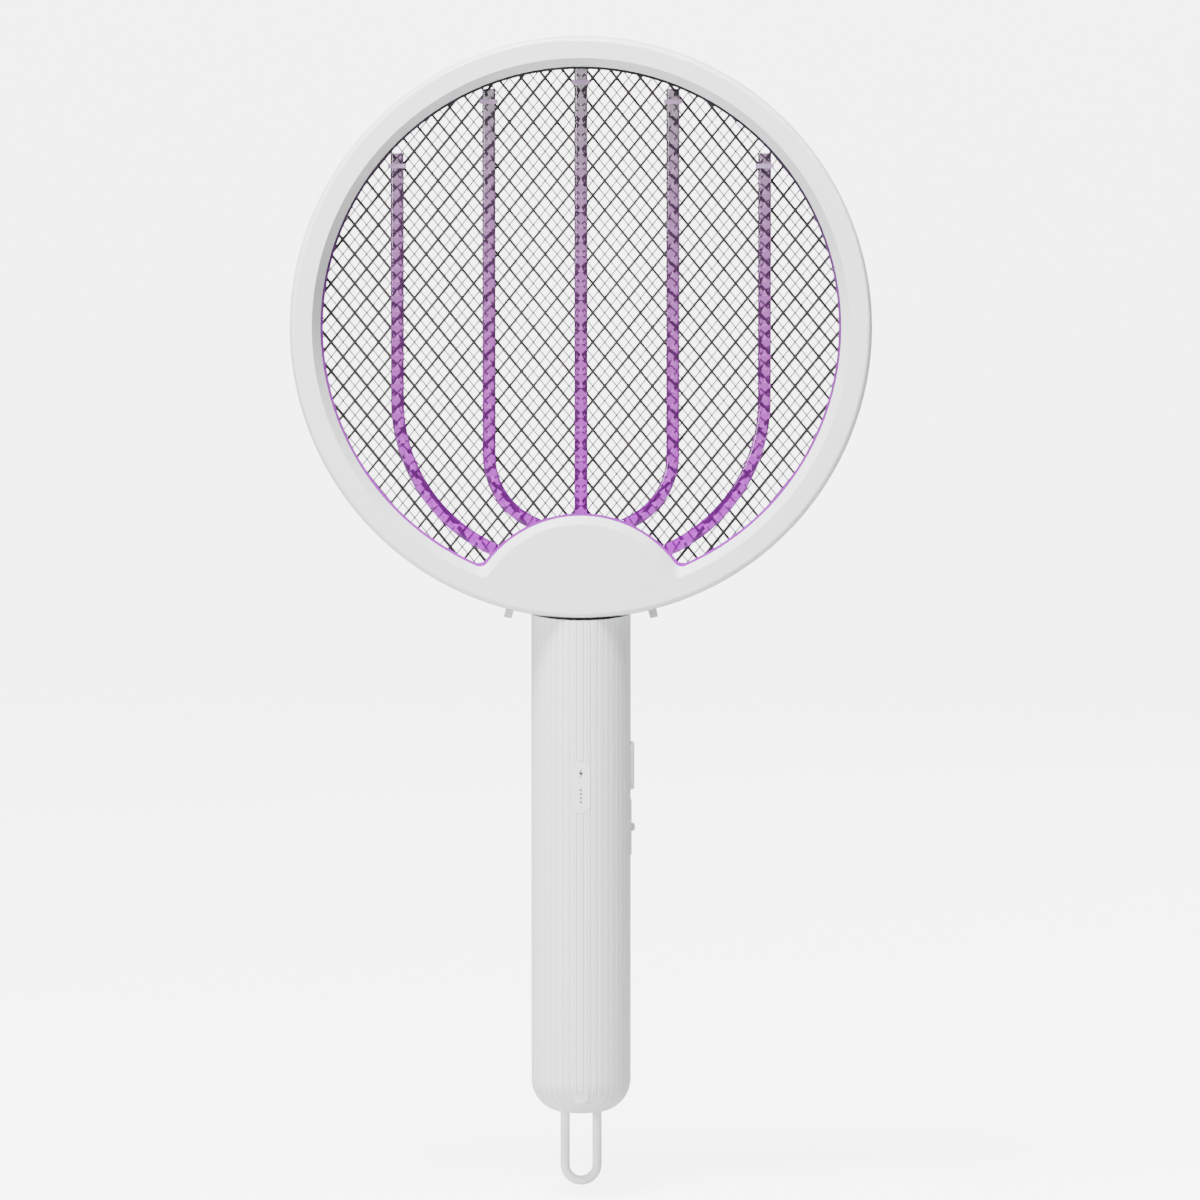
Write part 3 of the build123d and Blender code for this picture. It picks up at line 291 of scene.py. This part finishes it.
def ring_glow_and_painted_shade(name):
    """Edge of the light ring: painted shade makes it dark at the top of the opening, where the gap
    between the bezel and the net lies in shadow; near the hub it is bright violet with the lamps'
    glow.
    """
    shader = Shader(name)
    # dark stops towards the top are painted shade in the gap between the bezel and the net; violet
    # stops near the hub are the lamps' glow
    stops = (
        (0.0, (0.26, 0.008, 0.36)),
        (0.40, (0.16, 0.02, 0.22)),
        (0.75, (0.05, 0.03, 0.06)),
        (1.0, (0.02, 0.02, 0.022)),
    )
    glow_and_colour_by_height(shader, stops, 0.5, 0.0)
    shader.vary_roughness(0.22, 400.0, 0.06)
    shader.grain(1500.0, 0.2, 0.00006)
    return shader.material


paint = {name: moulded(name, *look) for name, *look in PLASTICS}
paint |= {name: drawn_metal(name, *look) for name, *look in METALS}
paint["light_guide_clear"] = clear_acrylic("light_guide_clear")
# notches: white glow painted as glints, tinted violet by the lamps near the hub
prism_glint_paint = prism_painted_glint("light_guide_prism")
# light ring edge: lamp glow near the hub, painted shade at the top of the opening
ring_lamp_glow_and_painted_shade = ring_glow_and_painted_shade("light_ring_edge")

slots = {entry["node"]: entry["material_slot"] for entry in frame["record"]["subparts"]}
for name, piece in nodes.items():
    piece.data.materials.clear()
    piece.data.materials.append(ring_lamp_glow_and_painted_shade if name == "light_ring" else paint[slots[name]])


def shade(mesh, crease=40):
    """Smooth faces with creases kept sharp."""
    work = bmesh.new()
    work.from_mesh(mesh)
    for edge in work.edges:
        edge.smooth = edge.calc_face_angle(0.0) < radians(crease)
    for face in work.faces:
        face.smooth = True
    work.to_mesh(mesh)
    work.free()


def add_piece(name, mesh, body, slot_name, material, *stood_for):
    piece = bpy.data.objects.new(name, mesh)
    bpy.context.scene.collection.objects.link(piece)
    mesh.materials.clear()
    mesh.materials.append(material)
    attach(piece, body)
    if stood_for:
        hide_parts(*stood_for)
    return piece


# --- ribs on the handle's rounded end ----------------------------------------------------------
def on_handle(point):
    """Nearest point of the handle's smooth outside, and the outward normal there."""
    radial = Vector((point.x, point.y, 0))
    out = radial.length
    radial = radial.normalized() if out > 1e-9 else Vector((0, -1, 0))
    if point.z >= END_TOP:
        return radial * HANDLE_R + Vector((0, 0, point.z)), radial
    if out > END_FLAT:
        centre = radial * END_FLAT + Vector((0, 0, END_TOP))
        normal = (point - centre).normalized()
        return centre + normal * HANDLE_END_R, normal
    return Vector((point.x, point.y, HANDLE_BOTTOM)), Vector((0, 0, -1))


def walk(start, heading, length):
    """Straightest path over the handle's outside: places, headings and distances walked."""
    place, normal = on_handle(start)
    far = 0.0
    found = [(place, heading, far)]
    while far < length:
        heading = (heading - normal * heading.dot(normal)).normalized()
        place, normal = on_handle(place + heading * RIB_STEP)
        far += RIB_STEP
        found.append((place, (heading - normal * heading.dot(normal)).normalized(), far))
    return found


def rib_distance():
    """Lookup of the distance over the surface from the middle rib, which ends at RIB_POINT_Z."""
    samples = []
    front = Vector((0, -HANDLE_R, RIB_POINT_Z))
    point, normal = on_handle(front)
    down = normal.cross(Vector((1, 0, 0))).normalized()
    if down.z > 0:
        down = -down
    for degree in range(-90, 91):
        heading = down * cos(radians(degree)) + Vector((1, 0, 0)) * sin(radians(degree))
        samples += walk(point, heading, RIB_REACH)
    z = RIB_POINT_Z
    while z < END_TOP + 2 * MM:
        for side in (-1, 1):
            samples += walk(Vector((0, -HANDLE_R, z)), Vector((side, 0, 0)), pi * HANDLE_R)
        z += RIB_STEP
    tree = KDTree(len(samples))
    for index, (place, _, _) in enumerate(samples):
        tree.insert(place, index)
    tree.balance()
    return tree, samples


def rib_field(place, lookup):
    """Distance from the middle rib, eased into that round the handle where the flutes start."""
    tree, samples = lookup
    far = min(
        samples[index][2] + (place - spot).dot(samples[index][1])
        for spot, index, _ in tree.find_n(place, 5)
    )
    around = HANDLE_R * abs(atan2(place.x, -place.y))
    share = min(1.0, max(0.0, (END_TOP - place.z) / RIB_BLEND))
    share = share * share * (3 - 2 * share)
    return around + (far - around) * share


def groove_depth(distance):
    """Depth of the groove between two ribs, rounded like the straight flutes."""
    across = abs(((distance / FLUTE_PITCH) % 1.0) - 0.5) * FLUTE_PITCH
    half = 0.99 * FLUTE_R
    if across >= half:
        return 0.0
    return FLUTE_R * sqrt(1 - (across / half) ** 2)


def end_face(face):
    """True on the smooth outside of the handle's rounded end."""
    sunk, slack = 0.3 * MM, 0.06 * MM  # a facet's middle lies under the curve, its corners on it
    middle = face.calc_center_median()
    if middle.z > END_TOP:
        return False
    near, normal = on_handle(middle)
    if (near - middle).length > sunk or face.normal.dot(normal) < 0.6:
        return False
    return all((on_handle(v.co)[0] - v.co).length < slack for v in face.verts)


def refine(work, finest):
    """Halves the longest edges on the rounded end until all are short; the mesh stays closed."""
    skin = {face for face in work.faces if end_face(face)}
    queue = sorted(skin, key=lambda face: face.index)
    while queue:
        following = []
        for face in queue:
            edge = max(face.edges, key=lambda side: side.calc_length())
            if edge.calc_length() <= finest:
                continue
            sides = [
                (near, next(v for v in near.verts if v not in edge.verts))
                for near in edge.link_faces
            ]
            _, middle = bmesh.utils.edge_split(edge, edge.verts[0], 0.5)
            for near, apex in sides:
                half, _ = bmesh.utils.face_split(near, apex, middle)
                if near in skin:
                    skin.add(half)
                    following += [near, half]
        queue = following
    return skin


def ribbed_shell(node, lookup):
    """Copy of a handle shell whose rounded end carries the wrapped ribs as real grooves."""
    mesh = nodes[node].data.copy()
    work = bmesh.new()
    work.from_mesh(mesh)
    bmesh.ops.remove_doubles(work, verts=work.verts, dist=0.5e-6)
    bmesh.ops.triangulate(work, faces=work.faces)
    skin = {v for face in refine(work, RIB_EDGE) for v in face.verts}
    moved = []
    for vert in skin:
        place, normal = on_handle(vert.co)
        moved.append((vert, place - normal * groove_depth(rib_field(place, lookup))))
    for vert, place in moved:
        vert.co = place
    work.to_mesh(mesh)
    work.free()
    mesh.name = node + "_ribbed"
    shade(mesh)
    return add_piece(node + "_ribbed", mesh, "handle", slots[node], paint[slots[node]], node)


rib_lookup = rib_distance()
for shell in ("handle_front_shell", "handle_rear_shell"):
    ribbed_shell(shell, rib_lookup)


# --- light guides ------------------------------------------------------------------------------
def guide_route(x, bend_start, bend_r, turn, tail):
    """Middle line of one guide in the head's plane, from the top down: places and headings."""
    x, bend_start, bend_r, tail = x * MM, bend_start * MM, bend_r * MM, tail * MM
    top = sqrt(GUIDE_TOP_R**2 - (abs(x) + GUIDE_W / 2) ** 2)
    inward = -1 if x > 0 else 1
    count = int((top - bend_start) / GUIDE_STEP)
    route = [
        (Vector((x, top + (bend_start - top) * k / count)), Vector((0, -1)))
        for k in range(count + 1)
    ]
    arc_steps = int(bend_r * radians(turn) / GUIDE_STEP)
    for k in range(1, arc_steps + 1):
        angle = radians(turn) * k / arc_steps
        across = x + inward * bend_r * (1 - cos(angle))
        place = Vector((across, bend_start - bend_r * sin(angle)))
        route.append((place, Vector((inward * sin(angle), -cos(angle)))))
    end, heading = route[-1]
    for k in range(1, GUIDE_TAIL_STEPS + 1):
        route.append((end + heading * tail * k / GUIDE_TAIL_STEPS, heading))
    return [spot for spot in route if (spot[0] - HUB).length > GUIDE_END_R - GUIDE_W]


def rounded_section(width, depth, front_r, back_r, steps=5):
    """Bar section as (across, towards the front) pairs, with rounder edges at the front."""
    points = []
    corners = (
        (width / 2 - front_r, depth / 2 - front_r, front_r, 0),
        (front_r - width / 2, depth / 2 - front_r, front_r, 90),
        (back_r - width / 2, back_r - depth / 2, back_r, 180),
        (width / 2 - back_r, back_r - depth / 2, back_r, 270),
    )
    for cx, cy, r, first in corners:
        for k in range(steps + 1):
            angle = radians(first + 90 * k / steps)
            points.append((cx + r * cos(angle), cy + r * sin(angle)))
    return points


def closed_mesh(name, verts, faces):
    """Mesh with shared corners merged and its faces turned outwards."""
    mesh = bpy.data.meshes.new(name)
    mesh.from_pydata(verts, [], faces)
    work = bmesh.new()
    work.from_mesh(mesh)
    bmesh.ops.remove_doubles(work, verts=work.verts, dist=1e-7)
    bmesh.ops.recalc_face_normals(work, faces=work.faces)
    work.to_mesh(mesh)
    work.free()
    return mesh


def guide_mesh(name, route):
    """Bar swept along the route; its lower end follows the curve round the hub."""
    section = rounded_section(GUIDE_W, GUIDE_T, GUIDE_FRONT_EDGE_R, GUIDE_BACK_EDGE_R)
    middle_y = (guide_low.y + guide_high.y) / 2
    verts = []
    for place, heading in route:
        side = Vector((-heading.y, heading.x))
        for across, front in section:
            flat = place + side * across
            if (flat - HUB).length < GUIDE_END_R:
                flat = HUB + (flat - HUB).normalized() * GUIDE_END_R
            verts.append((flat.x, middle_y - front, HEAD.z + flat.y))
    n = len(section)
    faces = [
        (r * n + k, r * n + (k + 1) % n, (r + 1) * n + (k + 1) % n, (r + 1) * n + k)
        for r in range(len(route) - 1)
        for k in range(n)
    ]
    faces += [tuple(reversed(range(n))), tuple(range((len(route) - 1) * n, len(route) * n))]
    mesh = closed_mesh(name, verts, faces)
    shade(mesh)
    return mesh


def prism_mesh(routes):
    """Three-sided notches in the back of the guides, every PRISM_PITCH along them."""
    verts, faces = [], []
    back_y = guide_high.y - PRISM_BACK
    front_y = guide_high.y - PRISM_FRONT
    for route in routes:
        walked, due = 0.0, PRISM_PITCH / 2
        for (place, heading), (following, _) in zip(route, route[1:]):
            walked += (following - place).length
            near_hub = (following - HUB).length < GUIDE_END_R + PRISM_HUB_GAP
            if walked < due or near_hub:
                continue
            due += PRISM_PITCH
            half = Vector((-heading.y, heading.x)) * PRISM_HALF_W
            base = following + heading * PRISM_BASE
            corners = (following - heading * PRISM_TIP, base + half, base - half)
            first = len(verts)
            for level, shrink in ((front_y, 1.0), (back_y, PRISM_TAPER)):
                for corner in corners:
                    flat = following + (corner - following) * shrink
                    verts.append((flat.x, level, HEAD.z + flat.y))
            a, b, c, d, e, f = range(first, first + 6)
            faces += [(a, b, c), (d, f, e), (a, d, e, b), (b, e, f, c), (c, f, d, a)]
    return closed_mesh("light_guide_prisms", verts, faces)


routes = []
for guide, shape in GUIDES.items():
    routes.append(guide_route(*shape))
    mesh = guide_mesh(guide + "_moulded", routes[-1])
    add_piece(guide + "_moulded", mesh, "head", slots[guide], paint[slots[guide]], guide)
# the notches carry painted glints: a white glow, tinted by the lamps near the hub
add_piece("light_guide_prisms", prism_mesh(routes), "head", "light_guide_clear", prism_glint_paint)


# --- stage, light and camera -------------------------------------------------------------------
def pale_room():
    """Seamless pale floor that curves up into a wall all round the object."""
    profile = [(FLOOR_R, 0.0)]
    for k in range(1, FLOOR_CURVE_STEPS + 1):
        angle = k / FLOOR_CURVE_STEPS * pi / 2
        profile.append((FLOOR_R + FLOOR_CURVE * sin(angle), FLOOR_CURVE * (1 - cos(angle))))
    profile.append((FLOOR_R + FLOOR_CURVE, WALL_TOP))
    verts = [
        (r * cos(2 * pi * k / FLOOR_SIDES), r * sin(2 * pi * k / FLOOR_SIDES), z - FLOOR_DROP)
        for r, z in profile
        for k in range(FLOOR_SIDES)
    ]
    faces = []
    for row in range(len(profile) - 1):
        low, high = row * FLOOR_SIDES, (row + 1) * FLOOR_SIDES
        for k in range(FLOOR_SIDES):
            following = (k + 1) % FLOOR_SIDES
            faces.append((low + k, low + following, high + following, high + k))
    faces.append(tuple(range(FLOOR_SIDES)))
    mesh = bpy.data.meshes.new("backdrop")
    mesh.from_pydata(verts, [], faces)
    for face in mesh.polygons:
        face.use_smooth = len(face.vertices) == 4
    backdrop = bpy.data.objects.new("backdrop", mesh)
    bpy.context.scene.collection.objects.link(backdrop)
    shader = Shader("backdrop_paper")
    shader.vary_color((0.55, 0.55, 0.55), 1.5, 0.003)
    # bright when looked at, directly or through the clear guides, without lighting the object
    rays = shader.tree.nodes.new("ShaderNodeLightPath")
    seen = shader.tree.nodes.new("ShaderNodeMath")
    seen.operation = "MAXIMUM"
    shader.link(rays.outputs["Is Camera Ray"], seen.inputs[0])
    shader.link(rays.outputs["Is Transmission Ray"], seen.inputs[1])
    strength = shader.tree.nodes.new("ShaderNodeMath")
    strength.operation = "MULTIPLY"
    strength.inputs[1].default_value = BACKDROP_SEEN
    shader.link(seen.outputs["Value"], strength.inputs[0])
    shader.link(strength.outputs["Value"], shader.principled.inputs["Emission Strength"])
    shader.principled.inputs["Emission Color"].default_value = (1, 1, 1, 1)
    mesh.materials.append(shader.material)


def area_light(name, place, target, size, power):
    light = bpy.data.lights.new(name, "AREA")
    light.shape = "DISK"
    light.size = size
    light.energy = power
    lamp = bpy.data.objects.new(name, light)
    lamp.location = place
    lamp.rotation_euler = (Vector(target) - Vector(place)).to_track_quat("-Z", "Y").to_euler()
    bpy.context.scene.collection.objects.link(lamp)


def studio():
    pale_room()
    middle = (0, 0, 0.25)
    area_light("key", (-0.3, -0.62, 1.9), middle, 0.6, 135)
    area_light("front_fill", (-1.6, -2.0, 0.8), middle, 0.9, 74)
    area_light("behind", (0.9, 2.0, 1.3), middle, 1.0, 46)
    world = bpy.data.worlds.new("studio")
    world.use_nodes = True
    world.node_tree.nodes["Background"].inputs["Color"].default_value = (1, 1, 1, 1)
    world.node_tree.nodes["Background"].inputs["Strength"].default_value = 0.3
    bpy.context.scene.world = world


def camera():
    """Long lens, almost level, with the object a little left of the frame's middle."""
    lens = bpy.data.cameras.new("camera")
    lens.lens = 200
    lens.sensor_width = 36
    distance = VIEW_WIDTH * lens.lens / lens.sensor_width
    back = Vector((0, -distance * cos(VIEW_TILT), distance * sin(VIEW_TILT)))
    eye = bpy.data.objects.new("camera", lens)
    eye.location = VIEW_TARGET + back
    eye.rotation_euler = (VIEW_TARGET - eye.location).to_track_quat("-Z", "Y").to_euler()
    bpy.context.scene.collection.objects.link(eye)
    bpy.context.scene.camera = eye


studio()
camera()
